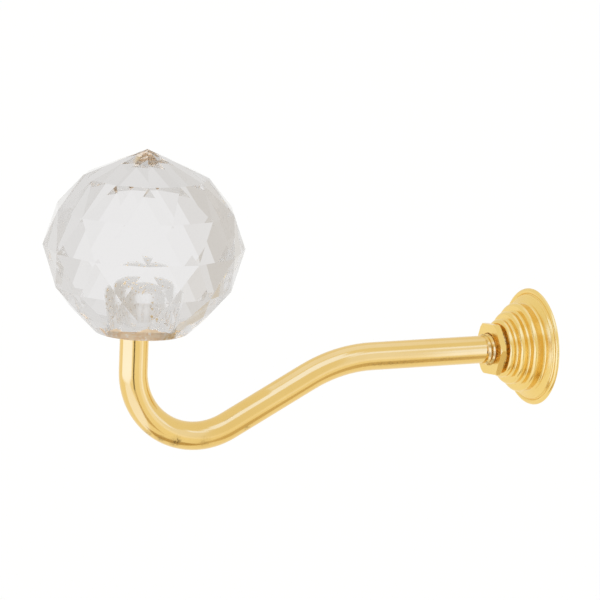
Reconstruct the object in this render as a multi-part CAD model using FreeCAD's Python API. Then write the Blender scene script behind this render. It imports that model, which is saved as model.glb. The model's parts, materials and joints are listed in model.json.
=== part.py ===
import FreeCAD, Part
import math
import os
from FreeCAD import Vector

# Curtain holdback: a cut-crystal ball on a bent brass rod, with a lock nut and a stepped wall rose.
# Millimetres, +Z up. The origin is the centre of the rose's wall face and +Y points into the wall,
# so the arm stands out along -Y, and its up-turned end carries the ball.

# Crystal ball: rings of facet corners as (radius, height over the ball's middle)
BALL_SIDES = 12
APEX_HEIGHT = 24.4
CROWN_RING = (15.5, 17.5)
UPPER_RING = (22.3, 9.6)
GIRDLE_RING = (25.0, 0.0)
LOWER_RING = (22.3, -9.6)
FOOT_RING = (16.6, -17.0)
BASE_RING = (12.5, -21.1)
BASE_GROUND_RADIUS = 11.9
FACET_TURN_DEG = 10.0
BALL_CENTRE_HEIGHT = 31.4

# Blind bore in the ball, and the cement plug in its mouth
BORE_RADIUS = 5.5
BORE_DEPTH = 17.2
BORE_SHOULDER_RADIUS = 2.6
BORE_CROWN_RADIUS = 8.0
ROD_IN_BALL = 4.0
CEMENT_OVER_ROD = 0.6
ROD_OFF_CENTRE = 1.8

# Bent rod
ROD_RADIUS = 3.6
ROD_REACH = 112.2
FIRST_BEND_FROM_WALL = 46.5
FIRST_BEND_RADIUS = 38.5
OUTER_BEND_RADIUS = 17.9
SLOPE_DEG = 27.7
TAIL_RADIUS = 4.0
TAIL_START_FROM_WALL = 14.6
TAIL_END_FROM_WALL = 6.2
TAIL_CHAMFER = 0.6

# Lock nut
NUT_ACROSS_FLATS = 13.0
NUT_THICKNESS = 1.6
NUT_TURN_DEG = 8.0
NUT_CHAMFER_DEG = 30.0
NUT_CHAMFER_RADIUS = 7.0
NUT_COUNTERSINK_RADIUS = 4.3

# Wall rose, as radii and distances from the wall
ROSE_NOSE_RADIUS = 5.6
ROSE_NOSE_HEIGHT = 11.2
ROSE_RINGS = ((7.6, 10.2), (9.5, 7.9), (11.6, 5.3))
RING_NOSE_RADIUS = 0.9
RING_COVE_RADIUS = 0.6
RING_UNDERCUT = 0.35
FLANGE_FOOT_HEIGHT = 1.9
FLANGE_EDGE = (13.35, 1.3)
LIP_RADIUS = 0.35
GROOVE = (13.95, 0.7)
RIM_CREST = (14.65, 0.9)
RIM_RADIUS = 15.25
RIM_EDGE_HEIGHT = 0.35
RIM_EDGE_CHAMFER = 0.2
STUD_HOLE_RADIUS = 3.0
BACK_HUB_RADIUS = 6.5
BACK_SEAT_RADIUS = 12.9
BACK_RELIEF = 0.6

# Worked out from the driving dimensions
NUT_BACK = -ROSE_NOSE_HEIGHT
NUT_FRONT = NUT_BACK - NUT_THICKNESS
BALL_CENTRE = Vector(0, ROD_OFF_CENTRE - ROD_REACH, BALL_CENTRE_HEIGHT)
BASE_HEIGHT = BALL_CENTRE.z + BASE_RING[1]
ROD_TOP = BASE_HEIGHT + ROD_IN_BALL
WALL_AXIS = Vector(0, 1, 0)
UPRIGHT = Vector(0, 0, 1)


def line(start, end):
    """Straight edge between two points."""
    return Part.LineSegment(start, end).toShape()


def arc_about(start, end, centre):
    """Arc from start to end, the short way round its centre."""
    middle = (start + end) * 0.5 - centre
    middle.normalize()
    return Part.Arc(start, centre + middle * (start - centre).Length, end).toShape()


def turned(edges, axis):
    """Solid turned about an axis through the origin from the closed half section that the edges make."""
    section = Part.Face(Part.Wire(edges))
    return section.revolve(Vector(0, 0, 0), axis, 360)


def facet_ring(radius, height, staggered):
    """Corners of one ring of facets; a staggered ring is turned by half a facet."""
    step = 2 * math.pi / BALL_SIDES
    start = math.radians(FACET_TURN_DEG) + (step / 2 if staggered else 0)
    angles = [start + step * k for k in range(BALL_SIDES)]
    return [Vector(radius * math.cos(a), radius * math.sin(a), height) for a in angles]


def facet_belt(upper, lower, upper_staggered):
    """Triangles between two rings that are half a facet out of step."""
    facets = []
    for k in range(BALL_SIDES):
        after = (k + 1) % BALL_SIDES
        below = after if upper_staggered else k
        above = k if upper_staggered else after
        facets.append((upper[k], lower[below], upper[after]))
        facets.append((lower[k], lower[after], upper[above]))
    return facets


def cut_ball():
    """Faceted ball about the origin: apex triangles, belts of triangles and a round ground base."""
    profile = (CROWN_RING, UPPER_RING, GIRDLE_RING, LOWER_RING, FOOT_RING, BASE_RING)
    rings = [facet_ring(r, h, index % 2 == 1) for index, (r, h) in enumerate(profile)]
    apex = Vector(0, 0, APEX_HEIGHT)
    facets = [(apex, rings[0][k - 1], rings[0][k]) for k in range(BALL_SIDES)]
    for index in range(len(rings) - 1):
        facets += facet_belt(rings[index], rings[index + 1], index % 2 == 1)
    facets.append(tuple(reversed(rings[-1])))
    faces = [Part.Face(Part.makePolygon(list(corners) + [corners[0]])) for corners in facets]
    ball = Part.Solid(Part.Shell(faces))
    return ball.common(base_grinding())


def base_grinding():
    """Envelope that rounds the rim of the flat base where it was ground on a lathe."""
    spread = 2 * GIRDLE_RING[0]
    low = Vector(0, 0, BASE_RING[1])
    rim = Vector(BASE_GROUND_RADIUS, 0, BASE_RING[1])
    wide = rim + Vector(spread, 0, spread)
    top = Vector(0, 0, wide.z)
    return turned([line(low, rim), line(rim, wide), line(wide, top), line(top, low)], UPRIGHT)


def bore_blank():
    """Body of the blind bore: up from the ball's base to a rounded shoulder and a shallow crown."""
    low = Vector(0, 0, BASE_RING[1])
    end = low + UPRIGHT * BORE_DEPTH
    crown_centre = end - UPRIGHT * BORE_CROWN_RADIUS
    offset = BORE_RADIUS - BORE_SHOULDER_RADIUS
    rise = math.sqrt((BORE_CROWN_RADIUS - BORE_SHOULDER_RADIUS) ** 2 - offset ** 2)
    shoulder_centre = crown_centre + Vector(offset, 0, rise)
    across = shoulder_centre - crown_centre
    meeting = crown_centre + across * (BORE_CROWN_RADIUS / across.Length)
    mouth = low + Vector(BORE_RADIUS, 0, 0)
    shoulder = shoulder_centre + Vector(BORE_SHOULDER_RADIUS, 0, 0)
    edges = [line(low, mouth), line(mouth, shoulder), arc_about(shoulder, meeting, shoulder_centre)]
    return turned(edges + [arc_about(meeting, end, crown_centre), line(end, low)], UPRIGHT)


def crystal_ball():
    """Cut ball with its bore, set over the up-turned end of the rod."""
    ball = cut_ball().cut(bore_blank())
    ball.translate(BALL_CENTRE)
    return ball


def ball_cement(rod):
    """Plug of cement round and just over the rod's end, in the mouth of the bore."""
    foot = BALL_CENTRE + UPRIGHT * BASE_RING[1]
    plug = Part.makeCylinder(BORE_RADIUS, ROD_IN_BALL + CEMENT_OVER_ROD, foot, UPRIGHT)
    return plug.cut(rod)


def arm_path():
    """Centreline of the rod: out from the wall, down a slope, and up through the outer bend."""
    slope = math.radians(SLOPE_DEG)
    along = Vector(0, -math.cos(slope), -math.sin(slope))
    square = Vector(0, -math.sin(slope), math.cos(slope))
    start = Vector(0, TAIL_RADIUS - ROD_RADIUS - TAIL_START_FROM_WALL, 0)
    first = Vector(0, -FIRST_BEND_FROM_WALL, 0)
    first_centre = first - UPRIGHT * FIRST_BEND_RADIUS
    second = first_centre + square * FIRST_BEND_RADIUS
    slope_run = ROD_REACH + second.y - OUTER_BEND_RADIUS * (1 + math.sin(slope))
    third = second + along * (slope_run / math.cos(slope))
    outer_centre = third + square * OUTER_BEND_RADIUS
    fourth = outer_centre - WALL_AXIS * OUTER_BEND_RADIUS
    lowest = outer_centre - UPRIGHT * OUTER_BEND_RADIUS
    top = Vector(0, fourth.y, ROD_TOP)
    edges = [line(start, first), arc_about(first, second, first_centre), line(second, third)]
    edges.append(Part.Arc(third, lowest, fourth).toShape())
    edges.append(line(fourth, top))
    return Part.Wire(edges)


def arm_rod():
    """Bent rod, with the thicker threaded tail that screws through the nut into the rose."""
    path = arm_path()
    start = path.Vertexes[0].Point
    section = Part.Wire(Part.makeCircle(ROD_RADIUS, start, WALL_AXIS))
    rod = path.makePipeShell([section], True, False)
    tail_step = Vector(ROD_RADIUS, start.y - (TAIL_RADIUS - ROD_RADIUS), 0)
    tail_front = Vector(TAIL_RADIUS, start.y, 0)
    tail_side = Vector(TAIL_RADIUS, -TAIL_END_FROM_WALL - TAIL_CHAMFER, 0)
    tail_edge = Vector(TAIL_RADIUS - TAIL_CHAMFER, -TAIL_END_FROM_WALL, 0)
    corners = [Vector(0, tail_step.y, 0), tail_step, tail_front, tail_side, tail_edge]
    corners.append(Vector(0, -TAIL_END_FROM_WALL, 0))
    edges = [line(a, b) for a, b in zip(corners, corners[1:] + corners[:1])]
    return rod.fuse(turned(edges, WALL_AXIS)).removeSplitter()


def lock_nut():
    """Thin hexagonal nut, its points to the sides, with chamfered corners and countersunk thread mouths."""
    point = NUT_ACROSS_FLATS / math.sqrt(3)
    angles = [math.radians(NUT_TURN_DEG + 60 * k) for k in range(7)]
    corners = [Vector(point * math.cos(a), NUT_FRONT, point * math.sin(a)) for a in angles]
    blank = Part.Face(Part.makePolygon(corners)).extrude(WALL_AXIS * NUT_THICKNESS)
    chamfer = (point - NUT_CHAMFER_RADIUS) * math.tan(math.radians(NUT_CHAMFER_DEG))
    sink = NUT_COUNTERSINK_RADIUS - TAIL_RADIUS
    section = [
        Vector(NUT_COUNTERSINK_RADIUS, NUT_FRONT, 0),
        Vector(NUT_CHAMFER_RADIUS, NUT_FRONT, 0),
        Vector(point, NUT_FRONT + chamfer, 0),
        Vector(point, NUT_BACK - chamfer, 0),
        Vector(NUT_CHAMFER_RADIUS, NUT_BACK, 0),
        Vector(NUT_COUNTERSINK_RADIUS, NUT_BACK, 0),
        Vector(TAIL_RADIUS, NUT_BACK - sink, 0),
        Vector(TAIL_RADIUS, NUT_FRONT + sink, 0),
    ]
    edges = [line(a, b) for a, b in zip(section, section[1:] + section[:1])]
    return blank.common(turned(edges, WALL_AXIS))


def rose_point(radius, height):
    """Point of the rose's half section, by its radius and its distance from the wall."""
    return Vector(radius, -height, 0)


def rose_cove(start, neck, front):
    """Edges of a ring's wall, drawn in to its neck, and of the small cove at its foot, to a face in front."""
    foot = rose_point(neck, front + RING_COVE_RADIUS)
    face = rose_point(neck + RING_COVE_RADIUS, front)
    centre = rose_point(neck + RING_COVE_RADIUS, front + RING_COVE_RADIUS)
    return [line(start, foot), arc_about(foot, face, centre)], face


def rose_steps(start):
    """Edges of the stepped rings: a cove before each ring, its flat face and its rounded nose."""
    edges = []
    here = start
    neck = start.x
    for radius, front in ROSE_RINGS:
        cove, face = rose_cove(here, neck, front)
        nose_start = rose_point(radius - RING_NOSE_RADIUS, front)
        nose_end = rose_point(radius, front - RING_NOSE_RADIUS)
        nose = rose_point(radius - RING_NOSE_RADIUS, front - RING_NOSE_RADIUS)
        edges += cove + [line(face, nose_start), arc_about(nose_start, nose_end, nose)]
        here = nose_end
        neck = radius - RING_UNDERCUT
    return edges, here


def rose_flange(start):
    """Edges of the sloping flange, its lip, the narrow groove and the rim's low bead, down to the wall."""
    cove, face = rose_cove(start, start.x - RING_UNDERCUT, FLANGE_FOOT_HEIGHT)
    lip_start = rose_point(*FLANGE_EDGE)
    lip_end = rose_point(FLANGE_EDGE[0] + LIP_RADIUS, FLANGE_EDGE[1] - LIP_RADIUS)
    lip_centre = rose_point(FLANGE_EDGE[0], FLANGE_EDGE[1] - LIP_RADIUS)
    groove = rose_point(*GROOVE)
    rim = rose_point(RIM_RADIUS, RIM_EDGE_HEIGHT)
    edge = rose_point(RIM_RADIUS, RIM_EDGE_CHAMFER)
    back = rose_point(RIM_RADIUS - RIM_EDGE_CHAMFER, 0)
    edges = cove + [line(face, lip_start), arc_about(lip_start, lip_end, lip_centre), line(lip_end, groove)]
    edges += [Part.Arc(groove, rose_point(*RIM_CREST), rim).toShape(), line(rim, edge), line(edge, back)]
    return edges, back


def rose_back(start):
    """Edges of the wall side: rim seat, shallow relief, hub, stud hole and the socket of the rod's tail."""
    corners = [
        start,
        rose_point(BACK_SEAT_RADIUS, 0),
        rose_point(BACK_SEAT_RADIUS - BACK_RELIEF, BACK_RELIEF),
        rose_point(BACK_HUB_RADIUS + BACK_RELIEF, BACK_RELIEF),
        rose_point(BACK_HUB_RADIUS, 0),
        rose_point(STUD_HOLE_RADIUS, 0),
        rose_point(STUD_HOLE_RADIUS, TAIL_END_FROM_WALL),
        rose_point(TAIL_RADIUS, TAIL_END_FROM_WALL),
        rose_point(TAIL_RADIUS, ROSE_NOSE_HEIGHT),
        rose_point(ROSE_NOSE_RADIUS, ROSE_NOSE_HEIGHT),
    ]
    return [line(a, b) for a, b in zip(corners, corners[1:])]


def wall_rose():
    """Turned rose: nose under the nut, three stepped rings, and a flange against the wall."""
    nose = rose_point(ROSE_NOSE_RADIUS, ROSE_NOSE_HEIGHT)
    steps, flange_start = rose_steps(nose)
    flange, back_start = rose_flange(flange_start)
    return turned(steps + flange + rose_back(back_start), WALL_AXIS)


rod = arm_rod()
pieces = {
    "crystal_ball": crystal_ball(),
    "ball_cement": ball_cement(rod),
    "arm_rod": rod,
    "lock_nut": lock_nut(),
    "wall_rose": wall_rose(),
}
os.makedirs("parts", exist_ok=True)
for name, shape in pieces.items():
    solid = shape.Solids[0]
    print(name, "valid", solid.isValid(), "solids", len(shape.Solids), "volume", round(solid.Volume, 1))
    solid.exportStep("parts/" + name + ".step")
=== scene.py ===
import json
import math

import bpy
from bpy.props import FloatProperty, FloatVectorProperty, IntProperty, PointerProperty
from mathutils import Matrix, Vector


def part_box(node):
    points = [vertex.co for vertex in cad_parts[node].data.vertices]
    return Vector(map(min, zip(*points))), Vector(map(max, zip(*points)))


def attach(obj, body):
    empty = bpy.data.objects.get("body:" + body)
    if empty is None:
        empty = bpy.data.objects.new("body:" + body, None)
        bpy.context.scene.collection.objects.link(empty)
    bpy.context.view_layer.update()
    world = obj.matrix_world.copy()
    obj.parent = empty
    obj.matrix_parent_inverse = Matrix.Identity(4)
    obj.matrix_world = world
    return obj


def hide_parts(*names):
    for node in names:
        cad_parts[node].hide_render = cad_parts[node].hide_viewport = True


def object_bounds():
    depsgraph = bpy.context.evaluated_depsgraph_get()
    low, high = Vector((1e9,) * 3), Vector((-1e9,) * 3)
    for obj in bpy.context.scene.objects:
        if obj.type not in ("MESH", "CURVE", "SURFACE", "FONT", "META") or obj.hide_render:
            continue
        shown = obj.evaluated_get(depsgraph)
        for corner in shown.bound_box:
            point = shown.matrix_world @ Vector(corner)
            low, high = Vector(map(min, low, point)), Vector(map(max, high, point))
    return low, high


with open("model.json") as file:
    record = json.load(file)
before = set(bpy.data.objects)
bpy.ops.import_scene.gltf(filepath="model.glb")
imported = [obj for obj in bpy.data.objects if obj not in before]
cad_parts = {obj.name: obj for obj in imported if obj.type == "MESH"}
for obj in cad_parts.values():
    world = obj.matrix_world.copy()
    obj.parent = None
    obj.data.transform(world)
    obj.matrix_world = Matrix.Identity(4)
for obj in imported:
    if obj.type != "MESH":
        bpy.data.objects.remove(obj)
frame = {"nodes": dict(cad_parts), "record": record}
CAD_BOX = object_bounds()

bl_info = {
    "name": "Crystal Curtain Holdback",
    "version": (1, 0, 0),
    "blender": (4, 5, 0),
    "location": "View3D > Sidebar > Holdback",
    "description": "Dresses a crystal-ball curtain holdback and sets its studio",
    "category": "Object",
}

MM = 0.001

# Places and sizes of the solids
BALL_LOW, BALL_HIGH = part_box("crystal_ball")
BALL_AXIS = (BALL_LOW + BALL_HIGH) / 2
CEMENT_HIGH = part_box("ball_cement")[1]
BORE_RADIUS = CEMENT_HIGH.x
ROD_LOW, ROD_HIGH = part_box("arm_rod")
TAIL_RADIUS = ROD_HIGH.x
TAIL_END = ROD_HIGH.y
NUT_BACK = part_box("lock_nut")[1].y
WALL_MOUNT = frame["record"]["mounts"][0]
STUD_RADIUS = WALL_MOUNT["dims"]["r_mm"] * MM
STUD_DEPTH = WALL_MOUNT["dims"]["length_mm"] * MM

# Tolerances of the modelling
MERGE_DISTANCE = 0.001 * MM
CUT_DISTANCE = 0.0001 * MM
BASE_TOLERANCE = 0.05 * MM
FACET_ANGLE = math.radians(0.3)
SMOOTH_ANGLE = math.radians(30)

# Materials of the ball, in the order of its slots
FACET, BORE, BASE = range(3)
# How much wider than its solid the cement is drawn, so that no film of air shows between it and the glass
CEMENT_SWELL = 1.006

# Turns that a thread is wound in front of its start, to be trimmed off
LEAD_IN = 2
# Thread of the rod's tail: its start, how far it is let into the plain rod, and its form in pitches
TAIL_START = -14.6 * MM
TAIL_LET_IN = 0.3 * MM
TAIL_DEPTH = 0.4
TAIL_FLAT = 0.12
TAIL_FLANK = 0.38
# Thread of the stud hole: how far it is sunk into the wall, its plain ends, and its form in pitches
STUD_SINK = 0.05 * MM
STUD_PLAIN_END = 0.2 * MM
STUD_PLAIN_MOUTH = 0.4 * MM
STUD_THREAD_DEPTH = 0.54
STUD_FLAT = 0.1
STUD_FLANK = 0.42

CRYSTAL_IOR = 1.54
# Cement that has crept up the bore: size of its tongues, their lowest and highest tops, and their edge
TONGUE_SIZE = 4 * MM
TONGUE_LOW = CEMENT_HIGH.z - 0.4 * MM
TONGUE_HIGH = CEMENT_HIGH.z + 2.4 * MM
TONGUE_EDGE = 0.15 * MM
# Cement specks in the bore, and the patches that they gather in
SPECK_SIZE = 0.9 * MM
PATCH_SIZE = 6 * MM
# Ragged edge of the cement on the base: its grain, its reach in spreads, and where it fades in
RAG_SIZE = 3 * MM
RAG_REACH = (0.6, 1.4)
RAG_EDGE = (-0.3 * MM, 0.5 * MM)
# Mottling of the cement on the base and in the plug, and the plug's paler flecks
SMEAR_MOTTLE = 3 * MM
PLUG_MOTTLE = 1.3 * MM
FLECK_SIZE = 0.8 * MM
# Share of white in thin cement and in its thinnest places, and the power that deepens it where it is thick
THIN = 0.45
THINNEST = 0.75
THICK_POWER = 1.5

# Clouds in the polish of the brass, and the tool lines in it
CLOUD_SIZE = 9 * MM
LINE_WIDTH = 0.3 * MM
LINE_DEPTH = 0.01 * MM
# Roughness of the buffed rod and of the lathe's work, and what clouds and stain add to it
BUFFED = 0.11
TURNED = 0.18
CLOUD_DULLS = 0.07
STAIN_DULLS = 0.3
# Brown marks on the rod in millimetres: centre, radius, stretch along Y and strength
TARNISH_MARKS = (
    ((3.2, -101.4, -18.1), 2.2, 1, 0.9),
    ((2.5, -105.3, -17.2), 1.6, 1, 0.6),
    ((1.3, -108.4, -15.7), 1.6, 1, 0.7),
    ((3.4, -93.5, -18.8), 2.4, 1, 0.3),
    ((3.0, -82.0, -15.8), 1.4, 1, 0.5),
    ((3.4, -42.0, -1.4), 1.0, 13, 0.6),
    ((3.4, -26.0, -1.1), 0.9, 14, 0.35),
)
TARNISH_GRAIN = 0.6 * MM
# Dirt in the tail's thread: how softly it starts, its grain and its strength
TAIL_DIRT_EDGE = 0.2 * MM
TAIL_DIRT_GRAIN = 1.2 * MM
TAIL_DIRT = 0.4
# Dirt and painted shade round the nut: radii from full to none, depths behind the nut from full to none,
# and its grain
NECK_DIRT_AND_SHADE = (5.4 * MM, 6.6 * MM)
MOUTH_DIRT_AND_SHADE = (4.1 * MM, 4.6 * MM)
MOUTH_DIRT_AND_SHADE_STRENGTH = 0.25
DIRT_AND_SHADE_DEPTHS = (NUT_BACK + MM, NUT_BACK + 2 * MM)
DIRT_AND_SHADE_GRAIN = 0.7 * MM

# Panels that only the brass shows: name, centre from the aim point, facing, width, height and brightness
PANELS = (
    ("panel_overhead", (0.385, -0.52, 0.6), (0, 0, 1), 0.51, 1.3, 1.7),
    ("panel_joint", (0.47, 0.2, 0.6), (0, 0, 1), 0.26, 0.14, 1.5),
    ("panel_level", (0.66, 0.45, 0.6), (0, 0, 1), 0.3, 0.36, 1.3),
    ("panel_back", (-0.2, 0.1, 0.6), (0, 0, 1), 0.5, 0.6, 0.6),
    ("panel_front", (0.12, -0.58, -0.08), (0.2, -0.97, -0.13), 1.0, 0.35, 1.9),
    ("panel_floor", (0.13, -0.29, -0.213), (0, 0, -1), 0.34, 0.38, 1.1),
    ("panel_side", (0.5, 0.31, 0.1), (0.84, 0.52, 0.17), 0.25, 0.6, 0.5),
    ("panel_bend", (0.16, 0.15, -0.028), (0.64, 0.77, 0), 0.06, 0.14, 1.2),
)
PANEL_COLOUR = "5C88FF"
# Square panel whose light only the ball and its cement gather: centre from the aim point, facing and side
GATHERED_PLACE = (0.3, -0.3, 0.75)
GATHERED_FACING = (0.35, -0.35, 0.87)
GATHERED_SIDE = 0.5
# Flags, which put darker lines into the brass: name, azimuth, elevation, distance, width, height, colour
FLAGS = (
    ("flag_tall", 67, -13, 0.5, 0.075, 0.2, "4A4036"),
    ("flag_low", 133, -45, 0.28, 0.13, 0.11, "DDCEB5"),
)
# Strips just over the floor, which the bend shows: name, start, end, width and colour
STRIPS = (
    ("strip_near", (0.5, -0.2), (0.2, -0.12), 0.08, "D8C7AB"),
    ("strip_under", (0.0, -0.165), (0.135, -0.005), 0.075, "C9B592"),
)
STRIP_HEIGHT = 5 * MM
# Card under the ball, which keeps the ball's shade out of the polished slope
UNDER_PLACE = (-8 * MM, 2.4 * MM, BALL_LOW.z - BALL_AXIS.z - 0.3 * MM)
UNDER_SIZE = (36 * MM, 58 * MM)
UNDER_COLOUR = "F7F7F7"
# Dome that the crystal shows: its wall, its warmer side and the pool of light behind the ball
DOME_RADIUS = 1.0
DOME_SIDES = 64
DOME_GREY = "DAD8D6"
DOME_WARM = "CDC7BF"
DOME_POOL = "F1F0F0"
WARM_AZIMUTH = math.radians(-40)
POOL_ELEVATION = math.radians(-6)
# Floor, the soft light over it, and how far the camera sees
FLOOR_SIZE = 16.0
FLOOR_COLOUR = "FBFBFA"
FLOOR_LIGHT_HEIGHT = 2.0
FLOOR_LIGHT_SPREAD = math.radians(60)
SIGHT = 50.0
# Most bounces of light in all, and through or off the facets
BOUNCES = 128
FACET_BOUNCES = 112

WHITE = (1, 1, 1, 1)
BLACK = (0, 0, 0, 1)
# Sockets of a colour mix, by number, because other kinds of mix share their names
FACTOR, FIRST, SECOND, MIXED = 0, 6, 7, 2


def linear(code):
    """Linear RGB of an sRGB hex colour."""
    values = [int(code[k:k + 2], 16) / 255 for k in (0, 2, 4)]
    return tuple(v / 12.92 if v <= 0.04045 else ((v + 0.055) / 1.055) ** 2.4 for v in values)


def direction(azimuth, elevation):
    """Unit vector at an angle round from -Y towards +X, and an angle over the horizon."""
    flat = math.cos(elevation)
    return Vector((math.sin(azimuth) * flat, -math.cos(azimuth) * flat, math.sin(elevation)))


class CrystalSettings(bpy.types.PropertyGroup):
    """Colours and density of the cut ball, and the colours and spread of its cement."""

    glass: FloatVectorProperty(
        name="Glass", description="Tint of the crystal", default=linear("FAFAFA"), size=3, subtype="COLOR")
    body: FloatVectorProperty(
        name="Body", description="Colour that is left deep in the crystal", default=linear("9A948C"),
        size=3, subtype="COLOR")
    density: FloatProperty(
        name="Density", description="How strongly the crystal absorbs light, per metre", default=0.3)
    cement: FloatVectorProperty(
        name="Cement", description="Set cement", default=linear("EFD4AF"), size=3, subtype="COLOR")
    smear: FloatProperty(
        name="Smear", description="How far the cement has spread over the ball's base", default=8.4 * MM,
        unit="LENGTH")
    speck: FloatVectorProperty(
        name="Specks", description="Cement specks on the bore's wall", default=linear("DFC79F"), size=3,
        subtype="COLOR")


class BrassSettings(bpy.types.PropertyGroup):
    """Colours of the brass, and the pitches and steps of its threads."""

    brass: FloatVectorProperty(
        name="Brass", description="Clean drawn brass", default=linear("EFCE82"), size=3, subtype="COLOR")
    deep: FloatVectorProperty(
        name="Deep brass", description="Drawn brass where the polish is older", default=linear("E9C473"),
        size=3, subtype="COLOR")
    turned: FloatVectorProperty(
        name="Turned brass", description="Clean free-cutting brass", default=linear("F3D483"), size=3,
        subtype="COLOR")
    turned_deep: FloatVectorProperty(
        name="Deep turned brass", description="Free-cutting brass where the polish is older",
        default=linear("EFCB73"), size=3, subtype="COLOR")
    # This brown is also the colour of the painted shade in the neck behind the nut and round the mouth of
    # its thread.
    tarnish: FloatVectorProperty(
        name="Tarnish", description="Brown tarnish and dirt", default=linear("76582A"), size=3,
        subtype="COLOR")
    tail_pitch: FloatProperty(
        name="Tail pitch", description="Pitch of the rod's thread", default=1.25 * MM, unit="LENGTH")
    stud_pitch: FloatProperty(
        name="Stud pitch", description="Pitch of the tapped stud hole", default=1.0 * MM, unit="LENGTH")
    steps: IntProperty(
        name="Thread steps", description="Sides of one turn of a thread", default=60)


class StudioSettings(bpy.types.PropertyGroup):
    """Camera, floor and light tent."""

    azimuth: FloatProperty(
        name="Azimuth", description="Camera's angle round the object", default=math.radians(65),
        subtype="ANGLE")
    elevation: FloatProperty(
        name="Elevation", description="Camera's angle over the horizon", default=math.radians(12.15),
        subtype="ANGLE")
    roll: FloatProperty(
        name="Roll", description="Clockwise turn of the picture", default=math.radians(2.54),
        subtype="ANGLE")
    distance: FloatProperty(
        name="Distance", description="From the camera to the aim point", default=0.85, unit="LENGTH")
    aim: FloatVectorProperty(
        name="Aim", description="Point in the middle of the picture", default=(0, -67.45 * MM, 15.78 * MM),
        size=3, subtype="TRANSLATION")
    focal: FloatProperty(
        name="Focal length", description="Camera's focal length in millimetres", default=201.9)
    floor_drop: FloatProperty(
        name="Floor drop", description="Height of the object over the floor", default=0.2, unit="LENGTH")
    tent: FloatProperty(
        name="Tent", description="Brightness of the white light tent", default=0.93)
    gathered: FloatProperty(
        name="Gathered light", description="Brightness that the ball gathers on the cement", default=7.4)
    floor_light: FloatProperty(
        name="Floor light", description="Strength of the soft light from straight above", default=0.35)


def add_node(tree, kind, inputs=(), **settings):
    """Adds a node with its settings; an input takes a value, or a link where a socket is given."""
    node = tree.nodes.new("ShaderNode" + kind)
    for name, value in settings.items():
        setattr(node, name, value)
    for key, value in dict(inputs).items():
        if isinstance(value, bpy.types.NodeSocket):
            tree.links.new(value, node.inputs[key])
        else:
            node.inputs[key].default_value = value
    return node


def new_material(name):
    """Empty node material, its tree and its shader."""
    material = bpy.data.materials.new(name)
    material.use_nodes = True
    tree = material.node_tree
    tree.nodes.clear()
    shader = add_node(tree, "BsdfPrincipled")
    add_node(tree, "OutputMaterial", {"Surface": shader.outputs["BSDF"]})
    return material, tree, shader


def speckle(tree, place, size, low, high):
    """Mask of specks of one size; low and high set how many there are and how soft their edges are."""
    noise = add_node(tree, "TexNoise", {"Vector": place, "Scale": 1 / size, "Detail": 1})
    mask = add_node(tree, "MapRange", {"Value": noise.outputs["Fac"], "From Min": low, "From Max": high},
                    interpolation_type="SMOOTHSTEP")
    return mask.outputs[0]


def thinned(colour, share):
    """Colour of a coat that is so thin that a share of it looks white."""
    return (*(share + (1 - share) * v for v in colour), 1)


def polished_crystal(settings):
    # Lead crystal, cut on a wheel and polished: clear and faintly grey, with crisp facets.
    material, tree, shader = new_material("crystal_cut_polished")
    shader.inputs["Base Color"].default_value = (*settings.glass, 1)
    shader.inputs["Transmission Weight"].default_value = 1
    shader.inputs["IOR"].default_value = CRYSTAL_IOR
    shader.inputs["Roughness"].default_value = 0.03
    body = add_node(tree, "VolumeAbsorption", {"Color": (*settings.body, 1), "Density": settings.density})
    output = next(node for node in tree.nodes if node.type == "OUTPUT_MATERIAL")
    tree.links.new(body.outputs[0], output.inputs["Volume"])
    return material


def wetted_glass(tree, shader, cover):
    """Glass that cement wets where the cover mask is 1, so that no face reflects between the two there."""
    usual = shader.inputs["Specular IOR Level"].default_value
    clear = add_node(tree, "Math", {0: 1.0, 1: cover}, operation="SUBTRACT").outputs[0]
    gloss = add_node(tree, "Math", {0: clear, 1: usual}, operation="MULTIPLY").outputs[0]
    tree.links.new(clear, shader.inputs["Transmission Weight"])
    tree.links.new(gloss, shader.inputs["Specular IOR Level"])
    shader.inputs["IOR"].default_value = CRYSTAL_IOR


def crept_cement(tree, place):
    """Mask of the cement that has crept raggedly up the bore's wall over the plug."""
    height = add_node(tree, "SeparateXYZ", {0: place}).outputs["Z"]
    ragged = add_node(tree, "TexNoise", {"Vector": place, "Scale": 1 / TONGUE_SIZE, "Detail": 4})
    reach = add_node(tree, "MapRange", {"Value": ragged.outputs["Fac"], "From Min": 0.4, "From Max": 0.68,
                                        "To Min": TONGUE_LOW, "To Max": TONGUE_HIGH}).outputs[0]
    below = add_node(tree, "Math", {0: reach, 1: height}, operation="SUBTRACT").outputs[0]
    mask = add_node(tree, "MapRange", {"Value": below, "From Min": -TONGUE_EDGE, "From Max": TONGUE_EDGE},
                    interpolation_type="SMOOTHSTEP")
    return mask.outputs[0]


def ground_crystal(settings):
    # The bore is drilled and left ground: frosted, with cement crept up from the plug and tan specks.
    material, tree, shader = new_material("crystal_bore_ground")
    place = add_node(tree, "TexCoord").outputs["Object"]
    patches = speckle(tree, place, PATCH_SIZE, 0.4, 0.6)
    dots = speckle(tree, place, SPECK_SIZE, 0.62, 0.68)
    specks = add_node(tree, "Math", {0: patches, 1: dots}, operation="MULTIPLY").outputs[0]
    crept = crept_cement(tree, place)
    speckled = add_node(tree, "Mix", {FACTOR: specks, FIRST: WHITE, SECOND: (*settings.speck, 1)},
                        data_type="RGBA").outputs[MIXED]
    colour = add_node(tree, "Mix", {FACTOR: crept, FIRST: speckled, SECOND: (*settings.cement, 1)},
                      data_type="RGBA").outputs[MIXED]
    cover = add_node(tree, "Math", {0: specks, 1: crept}, operation="MAXIMUM").outputs[0]
    tree.links.new(colour, shader.inputs["Base Color"])
    wetted_glass(tree, shader, cover)
    shader.inputs["Roughness"].default_value = 0.14
    return material


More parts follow.
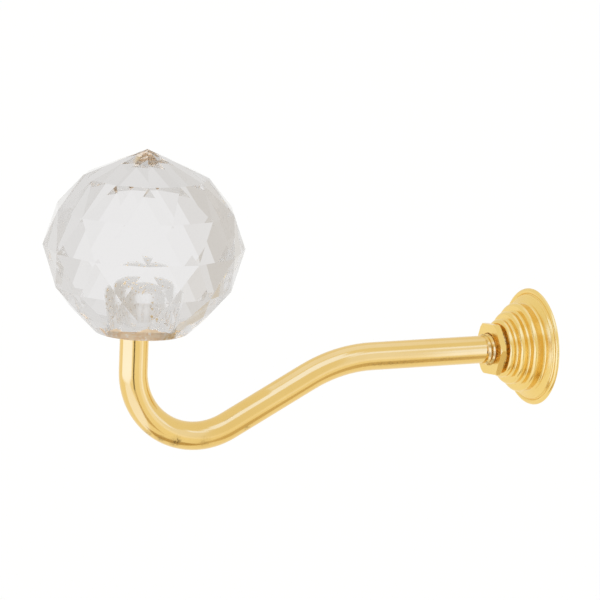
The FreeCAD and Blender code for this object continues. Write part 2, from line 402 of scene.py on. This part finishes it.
def base_smear(tree, place, spread):
    """Mask of the cement that has spread raggedly over the ball's base."""
    offset = add_node(tree, "VectorMath", {0: place, 1: BALL_AXIS}, operation="SUBTRACT").outputs[0]
    flat = add_node(tree, "VectorMath", {0: offset, 1: (1, 1, 0)}, operation="MULTIPLY").outputs[0]
    radius = add_node(tree, "VectorMath", {0: flat}, operation="LENGTH").outputs["Value"]
    ragged = add_node(tree, "TexNoise", {"Vector": place, "Scale": 1 / RAG_SIZE, "Detail": 5})
    least, most = RAG_REACH
    reach = add_node(tree, "MapRange", {"Value": ragged.outputs["Fac"], "To Min": least * spread,
                                        "To Max": most * spread}).outputs[0]
    inside = add_node(tree, "Math", {0: reach, 1: radius}, operation="SUBTRACT").outputs[0]
    mask = add_node(tree, "MapRange", {"Value": inside, "From Min": RAG_EDGE[0], "From Max": RAG_EDGE[1]},
                    interpolation_type="SMOOTHSTEP")
    return mask.outputs[0]


def cemented_crystal(settings):
    # The flat base is ground, and thin cement is smeared over it: ragged pale tan, frosted at the rim.
    material, tree, shader = new_material("crystal_base_cemented")
    place = add_node(tree, "TexCoord").outputs["Object"]
    smear = base_smear(tree, place, settings.smear)
    mottle = speckle(tree, place, SMEAR_MOTTLE, 0.45, 0.6)
    thin = thinned(settings.cement, THIN)
    thinnest = thinned(settings.cement, THINNEST)
    cement = add_node(tree, "Mix", {FACTOR: mottle, FIRST: thin, SECOND: thinnest},
                      data_type="RGBA").outputs[MIXED]
    colour = add_node(tree, "Mix", {FACTOR: smear, FIRST: WHITE, SECOND: cement}, data_type="RGBA")
    tree.links.new(colour.outputs[MIXED], shader.inputs["Base Color"])
    wetted_glass(tree, shader, smear)
    shader.inputs["Roughness"].default_value = 0.3
    return material


def set_cement(settings):
    # Two-part cement, set hard and yellowed: ragged tan, with paler flecks where it has pulled away.
    material, tree, shader = new_material("cement_set_yellowed")
    place = add_node(tree, "TexCoord").outputs["Object"]
    mottle = speckle(tree, place, PLUG_MOTTLE, 0.36, 0.6)
    flecks = speckle(tree, place, FLECK_SIZE, 0.56, 0.66)
    thick = [v ** THICK_POWER for v in settings.cement]
    thin = thinned(settings.cement, THIN)
    ragged = add_node(tree, "Mix", {FACTOR: mottle, FIRST: (*thick, 1), SECOND: (*settings.cement, 1)},
                      data_type="RGBA").outputs[MIXED]
    colour = add_node(tree, "Mix", {FACTOR: flecks, FIRST: ragged, SECOND: thin}, data_type="RGBA")
    tree.links.new(colour.outputs[MIXED], shader.inputs["Base Color"])
    shader.inputs["Roughness"].default_value = 0.35
    return material


def brass_finish(name, tones, tarnish, polish, lines, stain):
    """Brass with a cloudy polish, tool lines as bump, and brown stain that on the nut and rose is also
    painted shade, the last two given as functions.
    """
    material, tree, shader = new_material(name)
    clean, deep = tones
    place = add_node(tree, "TexCoord").outputs["Object"]
    noise = add_node(tree, "TexNoise", {"Vector": place, "Scale": 1 / CLOUD_SIZE, "Detail": 3})
    cloud = noise.outputs["Fac"]
    metal = add_node(tree, "Mix", {FACTOR: cloud, FIRST: (*clean, 1), SECOND: (*deep, 1)},
                     data_type="RGBA").outputs[MIXED]
    mask = stain(tree, place)
    colour = add_node(tree, "Mix", {FACTOR: mask, FIRST: metal, SECOND: (*tarnish, 1)},
                      data_type="RGBA").outputs[MIXED]
    gloss = add_node(tree, "MapRange", {"Value": cloud, "To Min": polish, "To Max": polish + CLOUD_DULLS})
    dull = add_node(tree, "Math", {0: mask, 1: STAIN_DULLS, 2: gloss.outputs[0]}, operation="MULTIPLY_ADD")
    bump = add_node(tree, "Bump", {"Strength": 0.3, "Distance": LINE_DEPTH, "Height": lines(tree, place)})
    tree.links.new(colour, shader.inputs["Base Color"])
    tree.links.new(dull.outputs[0], shader.inputs["Roughness"])
    tree.links.new(bump.outputs[0], shader.inputs["Normal"])
    shader.inputs["Metallic"].default_value = 1
    return material


def drawn_lines(tree, place):
    """Height of the die's lines, which keep to one X along the rod, as its bends lie in one plane."""
    along = add_node(tree, "VectorMath", {0: place, 1: (1, 0.01, 0.01)}, operation="MULTIPLY").outputs[0]
    # The die's lines are finer than a tenth of this; they are drawn wide enough to show.
    noise = add_node(tree, "TexNoise", {"Vector": along, "Scale": 1 / LINE_WIDTH, "Detail": 2})
    return noise.outputs["Fac"]


def axis_radius(tree, place):
    """Distance from the Y axis."""
    flat = add_node(tree, "VectorMath", {0: place, 1: (1, 0, 1)}, operation="MULTIPLY").outputs[0]
    return add_node(tree, "VectorMath", {0: flat}, operation="LENGTH").outputs["Value"]


def lathe_lines(tree, place):
    """Height of the tool's lines round the Y axis."""
    depth = add_node(tree, "SeparateXYZ", {0: place}).outputs["Y"]
    profile = add_node(tree, "CombineXYZ", {0: axis_radius(tree, place), 1: depth}).outputs[0]
    # A polished turning has lines of about 0.05 mm; they are drawn wide enough to show.
    noise = add_node(tree, "TexNoise", {"Vector": profile, "Scale": 1 / LINE_WIDTH, "Detail": 2})
    return noise.outputs["Fac"]


def tarnish_marks(tree, place):
    """Broken brown marks under the bends and the level part of the rod."""
    total = 0.0
    for centre, radius, stretch, strength in TARNISH_MARKS:
        scale = Vector((1, 1 / stretch, 1))
        middle = Vector(centre) * scale * MM
        scaled = add_node(tree, "VectorMath", {0: place, 1: scale}, operation="MULTIPLY").outputs[0]
        away = add_node(tree, "VectorMath", {0: scaled, 1: middle}, operation="DISTANCE").outputs["Value"]
        mark = add_node(tree, "MapRange", {"Value": away, "From Min": radius * MM, "From Max": 0.0,
                                           "To Max": strength}, interpolation_type="SMOOTHSTEP").outputs[0]
        total = add_node(tree, "Math", {0: total, 1: mark}, operation="ADD").outputs[0]
    grains = speckle(tree, place, TARNISH_GRAIN, 0.46, 0.62)
    broken = add_node(tree, "MapRange", {"Value": grains, "To Min": 0.25}).outputs[0]
    return add_node(tree, "Math", {0: total, 1: broken}, operation="MULTIPLY").outputs[0]


def rod_stain(tree, place):
    """Tarnish marks on the rod, and dirt in the thread of its tail."""
    depth = add_node(tree, "SeparateXYZ", {0: place}).outputs["Y"]
    tail = add_node(tree, "MapRange", {"Value": depth, "From Min": TAIL_START - TAIL_DIRT_EDGE,
                                       "From Max": TAIL_START, "To Max": TAIL_DIRT}).outputs[0]
    grains = speckle(tree, place, TAIL_DIRT_GRAIN, 0.45, 0.65)
    dirt = add_node(tree, "Math", {0: tail, 1: grains}, operation="MULTIPLY").outputs[0]
    return add_node(tree, "Math", {0: tarnish_marks(tree, place), 1: dirt}, operation="ADD").outputs[0]


def dirt_and_shade_within(tree, place, radii):
    """Brown dirt and painted shade in specks round the Y axis, in front of the rose, between two radii:
    full and gone.
    """
    full, none = radii
    deep_full, deep_none = DIRT_AND_SHADE_DEPTHS
    depth = add_node(tree, "SeparateXYZ", {0: place}).outputs["Y"]
    radius = axis_radius(tree, place)
    near = add_node(tree, "MapRange", {"Value": radius, "From Min": none, "From Max": full},
                    interpolation_type="SMOOTHSTEP").outputs[0]
    front = add_node(tree, "MapRange", {"Value": depth, "From Min": deep_none, "From Max": deep_full},
                     interpolation_type="SMOOTHSTEP").outputs[0]
    where = add_node(tree, "Math", {0: near, 1: front}, operation="MULTIPLY").outputs[0]
    grains = speckle(tree, place, DIRT_AND_SHADE_GRAIN, 0.45, 0.6)
    broken = add_node(tree, "MapRange", {"Value": grains, "To Min": 0.3, "To Max": 0.8}).outputs[0]
    return add_node(tree, "Math", {0: where, 1: broken}, operation="MULTIPLY").outputs[0]


def neck_dirt_and_shade(tree, place):
    """Dirt and painted shade in the neck between the nut and the first ring."""
    return dirt_and_shade_within(tree, place, NECK_DIRT_AND_SHADE)


def mouth_dirt_and_shade(tree, place):
    """Faint dirt and painted shade in the mouth of the nut's thread."""
    # These brown specks are dirt and painted shade where the thread enters the nut.
    dirt = dirt_and_shade_within(tree, place, MOUTH_DIRT_AND_SHADE)
    return add_node(tree, "Math", {0: dirt, 1: MOUTH_DIRT_AND_SHADE_STRENGTH}, operation="MULTIPLY").outputs[0]


def drawn_brass(settings):
    # Drawn brass rod, bent and buffed: long soft reflections, with brown tarnish along its underside.
    tones = (settings.brass, settings.deep)
    return brass_finish("brass_drawn_buffed", tones, settings.tarnish, BUFFED, drawn_lines, rod_stain)


def turned_brass(settings):
    # Free-cutting brass, turned and polished: soft bright rings, deeper in the coves, dirt and painted
    # shade at the neck.
    tones = (settings.turned, settings.turned_deep)
    return brass_finish("brass_turned_polished", tones, settings.tarnish, TURNED, lathe_lines, neck_dirt_and_shade)


def faced_brass(settings):
    # Hexagon bar brass, faced on a lathe: flat sides with a soft polish and a little dirt and painted shade
    # round the thread.
    tones = (settings.turned, settings.turned_deep)
    return brass_finish("brass_hexagon_faced", tones, settings.tarnish, TURNED, lathe_lines, mouth_dirt_and_shade)


def white_card():
    # Matt white card: an even pale ground with no gloss.
    material, tree, shader = new_material("card_matt_white")
    shader.inputs["Base Color"].default_value = (*linear(FLOOR_COLOUR), 1)
    shader.inputs["Roughness"].default_value = 0.9
    shader.inputs["Specular IOR Level"].default_value = 0.0
    return material


def lit_card(name):
    """Material of a matt card that is lit evenly: it only glows."""
    material, tree, shader = new_material(name)
    shader.inputs["Base Color"].default_value = BLACK
    shader.inputs["Specular IOR Level"].default_value = 0.0
    shader.inputs["Emission Strength"].default_value = 1.0
    return material, tree, shader


def plain_card(name, colour):
    # Matt card of one colour: it shows as one soft line or patch in the polish.
    material, tree, shader = lit_card(name)
    shader.inputs["Emission Color"].default_value = (*linear(colour), 1)
    return material


def graduated_card(settings):
    # Graduated card: grey, warmer on one side, with a soft pool of light that the facets break up.
    material, tree, shader = lit_card("card_graduated")
    behind = direction(settings.azimuth + math.pi, POOL_ELEVATION)
    place = add_node(tree, "TexCoord").outputs["Object"]
    way = add_node(tree, "VectorMath", {0: place}, operation="NORMALIZE").outputs[0]
    pool = add_node(tree, "VectorMath", {0: way, 1: behind}, operation="DOT_PRODUCT").outputs["Value"]
    glow = add_node(tree, "MapRange", {"Value": pool, "From Min": 0.7, "From Max": 0.99},
                    interpolation_type="SMOOTHSTEP").outputs[0]
    side = add_node(tree, "VectorMath", {0: way, 1: direction(WARM_AZIMUTH, 0)}, operation="DOT_PRODUCT")
    warm = add_node(tree, "MapRange", {"Value": side.outputs["Value"], "From Min": 0.3, "From Max": 0.9},
                    interpolation_type="SMOOTHSTEP").outputs[0]
    wall = add_node(tree, "Mix", {FACTOR: warm, FIRST: (*linear(DOME_GREY), 1),
                                  SECOND: (*linear(DOME_WARM), 1)}, data_type="RGBA").outputs[MIXED]
    lit = add_node(tree, "Mix", {FACTOR: glow, FIRST: wall, SECOND: (*linear(DOME_POOL), 1)},
                   data_type="RGBA").outputs[MIXED]
    tree.links.new(lit, shader.inputs["Emission Color"])
    return material


def deselect():
    """Leaves object mode with nothing selected."""
    if bpy.context.object and bpy.context.object.mode != "OBJECT":
        bpy.ops.object.mode_set(mode="OBJECT")
    bpy.ops.object.select_all(action="DESELECT")


def make_active(piece):
    """Selects one object alone and makes it the active one."""
    deselect()
    piece.select_set(True)
    bpy.context.view_layer.objects.active = piece


def edit_all(piece):
    """Goes into edit mode on one object with its whole mesh selected."""
    make_active(piece)
    bpy.ops.object.mode_set(mode="EDIT")
    bpy.ops.mesh.select_mode(type="VERT")
    bpy.ops.mesh.select_all(action="SELECT")


def smooth(piece):
    """Shades a piece smooth, apart from its sharp edges."""
    make_active(piece)
    bpy.ops.object.shade_smooth_by_angle(angle=SMOOTH_ANGLE)


def solid_copy(node, name):
    """Copy of a CAD node as a new object, with its triangles merged."""
    piece = bpy.data.objects.new(name, frame["nodes"][node].data.copy())
    piece.data.name = name
    piece.data.materials.clear()
    bpy.context.scene.collection.objects.link(piece)
    make_active(piece)
    bpy.ops.mesh.customdata_custom_splitnormals_clear()
    edit_all(piece)
    bpy.ops.mesh.remove_doubles(threshold=MERGE_DISTANCE)
    bpy.ops.object.mode_set(mode="OBJECT")
    return piece


def draw_line(name, points):
    """New object whose mesh is a line drawn from point to point."""
    deselect()
    bpy.ops.mesh.primitive_plane_add(size=MM, location=(0, 0, 0))
    piece = bpy.context.object
    piece.name = piece.data.name = name
    bpy.ops.object.mode_set(mode="EDIT")
    bpy.ops.mesh.select_mode(type="VERT")
    bpy.ops.mesh.merge(type="CENTER")
    bpy.ops.transform.translate(value=points[0])
    for here, there in zip(points, points[1:]):
        bpy.ops.mesh.extrude_vertices_move(TRANSFORM_OT_translate={"value": Vector(there) - Vector(here)})
    bpy.ops.object.mode_set(mode="OBJECT")
    return piece


def cut_between(piece, front, back):
    """Trims a mesh square to the Y axis at both ends and closes the cuts."""
    for place, side in ((front, -1), (back, 1)):
        edit_all(piece)
        bpy.ops.mesh.bisect(plane_co=(0, place, 0), plane_no=(0, side, 0), use_fill=True, clear_outer=True,
                            threshold=CUT_DISTANCE)
    edit_all(piece)
    bpy.ops.mesh.normals_make_consistent(inside=False)
    bpy.ops.object.mode_set(mode="OBJECT")


def wound_thread(name, profile, origin, ends, pitch, steps):
    """Thread round the Y axis from a profile of radii and shares of a pitch, trimmed at both ends."""
    start = origin - LEAD_IN * pitch
    front, back = ends
    thread = draw_line(name, [(radius, start + share * pitch, 0) for radius, share in profile])
    make_active(thread)
    screw = thread.modifiers.new("Screw", "SCREW")
    screw.axis = "Y"
    screw.screw_offset = pitch
    screw.iterations = math.ceil((back - start) / pitch) + 1
    screw.steps = screw.render_steps = steps
    bpy.ops.object.modifier_apply(modifier="Screw")
    edit_all(thread)
    bpy.ops.mesh.remove_doubles(threshold=MERGE_DISTANCE)
    cut_between(thread, front, back)
    smooth(thread)
    return thread


def finish_piece(piece, slot, *materials):
    """Gives a piece its materials and its body; the slot argument is not used."""
    for material in materials:
        piece.data.materials.append(material)
    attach(piece, "root")


class HOLDBACK_OT_crystal_ball(bpy.types.Operator):
    """Cut ball with flat polished facets, a ground bore and a cemented base"""

    bl_idname = "holdback.crystal_ball"
    bl_label = "Cut Crystal Ball"

    def execute(self, context):
        settings = context.scene.holdback_crystal
        ball = solid_copy("crystal_ball", "cut_crystal_ball")
        edit_all(ball)
        bpy.ops.mesh.dissolve_limited(angle_limit=FACET_ANGLE)
        bpy.ops.object.mode_set(mode="OBJECT")
        for polygon in ball.data.polygons:
            offset = polygon.center - BALL_AXIS
            polygon.material_index = FACET
            if math.hypot(offset.x, offset.y) < BORE_RADIUS:
                polygon.material_index = BORE
            if polygon.center.z < BALL_LOW.z + BASE_TOLERANCE:
                polygon.material_index = BASE
            polygon.use_smooth = polygon.material_index == BORE
        finishes = (polished_crystal(settings), ground_crystal(settings), cemented_crystal(settings))
        finish_piece(ball, "crystal", *finishes)
        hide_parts("crystal_ball")
        return {"FINISHED"}


class HOLDBACK_OT_ball_cement(bpy.types.Operator):
    """Cement that holds the rod in the ball"""

    bl_idname = "holdback.ball_cement"
    bl_label = "Ball Cement"

    def execute(self, context):
        cement = solid_copy("ball_cement", "cement_plug")
        edit_all(cement)
        bpy.ops.transform.resize(value=(CEMENT_SWELL, CEMENT_SWELL, 1),
                                 center_override=(BALL_AXIS.x, BALL_AXIS.y, 0))
        smooth(cement)
        finish_piece(cement, "cement", set_cement(context.scene.holdback_crystal))
        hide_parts("ball_cement")
        return {"FINISHED"}


class HOLDBACK_OT_arm_rod(bpy.types.Operator):
    """Bent rod with its threaded tail"""

    bl_idname = "holdback.arm_rod"
    bl_label = "Bent Rod"

    def execute(self, context):
        settings = context.scene.holdback_brass
        pitch = settings.tail_pitch
        rod = solid_copy("arm_rod", "bent_rod")
        cut_between(rod, ROD_LOW.y - MM, TAIL_START)
        smooth(rod)
        crest = TAIL_RADIUS
        root = TAIL_RADIUS - TAIL_DEPTH * pitch
        rise = TAIL_FLAT + TAIL_FLANK
        profile = ((root, 0), (root, TAIL_FLAT), (crest, rise), (crest, rise + TAIL_FLAT), (root, 1))
        ends = (TAIL_START - TAIL_LET_IN, TAIL_END)
        wound_thread("rod_tail", profile, TAIL_START, ends, pitch, settings.steps)
        rod.select_set(True)
        context.view_layer.objects.active = rod
        bpy.ops.object.join()
        finish_piece(rod, "rod_brass", drawn_brass(settings))
        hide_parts("arm_rod")
        return {"FINISHED"}


class HOLDBACK_OT_lock_nut(bpy.types.Operator):
    """Hexagonal lock nut"""

    bl_idname = "holdback.lock_nut"
    bl_label = "Lock Nut"

    def execute(self, context):
        nut = frame["nodes"]["lock_nut"]
        nut.material_slots[0].material = faced_brass(context.scene.holdback_brass)
        return {"FINISHED"}


class HOLDBACK_OT_wall_rose(bpy.types.Operator):
    """Turned wall rose and the thread of its stud hole"""

    bl_idname = "holdback.wall_rose"
    bl_label = "Wall Rose"

    def execute(self, context):
        settings = context.scene.holdback_brass
        finish = turned_brass(settings)
        frame["nodes"]["wall_rose"].material_slots[0].material = finish
        pitch = settings.stud_pitch
        wall = STUD_RADIUS + STUD_SINK
        crest = STUD_RADIUS - STUD_THREAD_DEPTH * pitch
        fall = STUD_FLANK + STUD_FLAT
        profile = ((wall, 0), (crest, STUD_FLANK), (crest, fall), (wall, fall + STUD_FLANK), (wall, 0))
        ends = (STUD_PLAIN_END - STUD_DEPTH, -STUD_PLAIN_MOUTH)
        thread = wound_thread("stud_thread", profile, -STUD_DEPTH, ends, pitch, settings.steps)
        finish_piece(thread, "rose_brass", finish)
        return {"FINISHED"}


def lay_floor(settings):
    """Pale matt floor under the object."""
    deselect()
    height = CAD_BOX[0].z - settings.floor_drop
    bpy.ops.mesh.primitive_plane_add(size=FLOOR_SIZE, location=(0, 0, height))
    floor = bpy.context.object
    floor.name = "floor"
    floor.data.materials.append(white_card())
    floor.visible_transmission = False
    return floor


def raise_tent(scene, settings):
    """Even white light from all round."""
    scene.world = bpy.data.worlds.new("light_tent")
    scene.world.use_nodes = True
    light = next(node for node in scene.world.node_tree.nodes if node.type == "BACKGROUND")
    light.inputs["Color"].default_value = WHITE
    light.inputs["Strength"].default_value = settings.tent


def piece_group(name, *pieces):
    """Collection of pieces that a light is kept to."""
    group = bpy.data.collections.new(name)
    for piece in pieces:
        group.objects.link(bpy.data.objects[piece])
    return group


def area_light(name, place, away, width, height, brightness):
    """Flat light that faces the object, its brightness against a white of 1; the camera doesn't see it."""
    bpy.ops.object.light_add(type="AREA", location=place, rotation=away.to_track_quat("Z", "Y").to_euler())
    light = bpy.context.object
    light.name = name
    light.data.shape = "RECTANGLE"
    light.data.size = width
    light.data.size_y = height
    light.data.energy = math.pi * width * height * brightness
    light.visible_camera = False
    light.visible_transmission = False
    return light


def hang_panels(settings):
    """Panel whose light the ball gathers on its cement, and the panels that only the brass shows."""
    brass = piece_group("brass_pieces", "bent_rod", "lock_nut", "wall_rose")
    crystal = piece_group("crystal_pieces", "cut_crystal_ball", "cement_plug")
    aim = Vector(settings.aim)
    gathered = area_light("panel_crystal", aim + Vector(GATHERED_PLACE), Vector(GATHERED_FACING),
                          GATHERED_SIDE, GATHERED_SIDE, settings.gathered)
    gathered.visible_glossy = False
    gathered.light_linking.receiver_collection = crystal
    gathered.light_linking.blocker_collection = brass
    for name, centre, facing, width, height, brightness in PANELS:
        panel = area_light(name, aim + Vector(centre), Vector(facing), width, height, brightness)
        panel.data.color = linear(PANEL_COLOUR)
        panel.visible_diffuse = False
        panel.light_linking.receiver_collection = brass


def light_floor(settings):
    """Soft light from straight above, which evens out the floor and shows in no reflection."""
    bpy.ops.object.light_add(type="SUN", location=(0, 0, FLOOR_LIGHT_HEIGHT))
    sun = bpy.context.object
    sun.name = "floor_light"
    sun.data.energy = settings.floor_light
    sun.data.angle = FLOOR_LIGHT_SPREAD
    sun.visible_glossy = False
    sun.visible_transmission = False


def stage_card(card, name, material, in_glass):
    """Card of the studio that shows either in the glass or in the polish, and nowhere else."""
    card.name = card.data.name = name
    card.data.materials.append(material)
    card.visible_camera = False
    card.visible_diffuse = False
    card.visible_shadow = False
    card.visible_glossy = not in_glass
    card.visible_transmission = in_glass


def polish_card(name, material, place, turn, size):
    """Flat card that shows in the polish of the brass."""
    deselect()
    bpy.ops.mesh.primitive_plane_add(size=1, location=place, rotation=turn)
    bpy.context.object.scale = (*size, 1)
    stage_card(bpy.context.object, name, material, False)


def set_cards(settings, floor_height):
    """Flags round the object, strips over the floor and the card under the ball."""
    for name, azimuth, elevation, distance, width, height, colour in FLAGS:
        away = direction(math.radians(azimuth), math.radians(elevation))
        turn = away.to_track_quat("Z", "Y").to_euler()
        place = Vector(settings.aim) + distance * away
        polish_card(name, plain_card("card_" + name, colour), place, turn, (width, height))
    for name, start, end, width, colour in STRIPS:
        run = Vector(end) - Vector(start)
        middle = (Vector(start) + Vector(end)) / 2
        turn = (0, 0, math.atan2(run.y, run.x))
        place = (*middle, floor_height + STRIP_HEIGHT)
        polish_card(name, plain_card("card_" + name, colour), place, turn, (run.length, width))
    white = plain_card("card_under_ball", UNDER_COLOUR)
    polish_card("card_under", white, BALL_AXIS + Vector(UNDER_PLACE), (0, 0, 0), UNDER_SIZE)


def raise_dome(settings):
    """Dome round the ball, which shows through the crystal."""
    deselect()
    bpy.ops.mesh.primitive_uv_sphere_add(
        radius=DOME_RADIUS, segments=DOME_SIDES, ring_count=DOME_SIDES // 2, location=BALL_AXIS)
    stage_card(bpy.context.object, "dome", graduated_card(settings), True)


def place_camera(scene, settings):
    """Camera that looks at the aim point, with its picture turned by the roll."""
    view = direction(settings.azimuth, settings.elevation)
    level = direction(settings.azimuth + math.radians(90), 0)
    upright = view.cross(level)
    turn = Matrix.Rotation(settings.roll, 3, view)
    axes = Matrix((turn @ level, turn @ upright, view)).transposed()
    place = Vector(settings.aim) + view * settings.distance
    bpy.ops.object.camera_add()
    camera = bpy.context.object
    camera.name = "camera"
    camera.matrix_world = Matrix.Translation(place) @ axes.to_4x4()
    camera.data.lens = settings.focal
    camera.data.clip_end = SIGHT
    scene.camera = camera


class HOLDBACK_OT_studio(bpy.types.Operator):
    """Pale floor, light tent and camera"""

    bl_idname = "holdback.studio"
    bl_label = "Studio"

    def execute(self, context):
        scene = context.scene
        settings = scene.holdback_studio
        floor = lay_floor(settings)
        raise_tent(scene, settings)
        hang_panels(settings)
        light_floor(settings)
        set_cards(settings, floor.location.z)
        raise_dome(settings)
        place_camera(scene, settings)
        scene.view_settings.view_transform = "Standard"
        scene.cycles.max_bounces = BOUNCES
        scene.cycles.transmission_bounces = FACET_BOUNCES
        scene.cycles.glossy_bounces = FACET_BOUNCES
        return {"FINISHED"}


class HOLDBACK_PT_panel(bpy.types.Panel):
    """Lists the pieces of the holdback and their settings"""

    bl_idname = "HOLDBACK_PT_panel"
    bl_label = "Curtain Holdback"
    bl_space_type = "VIEW_3D"
    bl_region_type = "UI"
    bl_category = "Holdback"

    def draw(self, context):
        for operator in OPERATORS:
            self.layout.operator(operator.bl_idname)
        for group, name in GROUPS.items():
            settings = getattr(context.scene, name)
            box = self.layout.box()
            for field in group.__annotations__:
                box.prop(settings, field)


GROUPS = {
    CrystalSettings: "holdback_crystal",
    BrassSettings: "holdback_brass",
    StudioSettings: "holdback_studio",
}
OPERATORS = (
    HOLDBACK_OT_crystal_ball,
    HOLDBACK_OT_ball_cement,
    HOLDBACK_OT_arm_rod,
    HOLDBACK_OT_lock_nut,
    HOLDBACK_OT_wall_rose,
    HOLDBACK_OT_studio,
)


def register():
    for group, name in GROUPS.items():
        bpy.utils.register_class(group)
        setattr(bpy.types.Scene, name, PointerProperty(type=group))
    for operator in OPERATORS:
        bpy.utils.register_class(operator)
    bpy.utils.register_class(HOLDBACK_PT_panel)


def unregister():
    bpy.utils.unregister_class(HOLDBACK_PT_panel)
    for operator in reversed(OPERATORS):
        bpy.utils.unregister_class(operator)
    for group, name in GROUPS.items():
        delattr(bpy.types.Scene, name)
        bpy.utils.unregister_class(group)


def main():
    register()
    bpy.ops.holdback.crystal_ball()
    bpy.ops.holdback.ball_cement()
    bpy.ops.holdback.arm_rod()
    bpy.ops.holdback.lock_nut()
    bpy.ops.holdback.wall_rose()
    bpy.ops.holdback.studio()


if __name__ == "__main__":
    main()
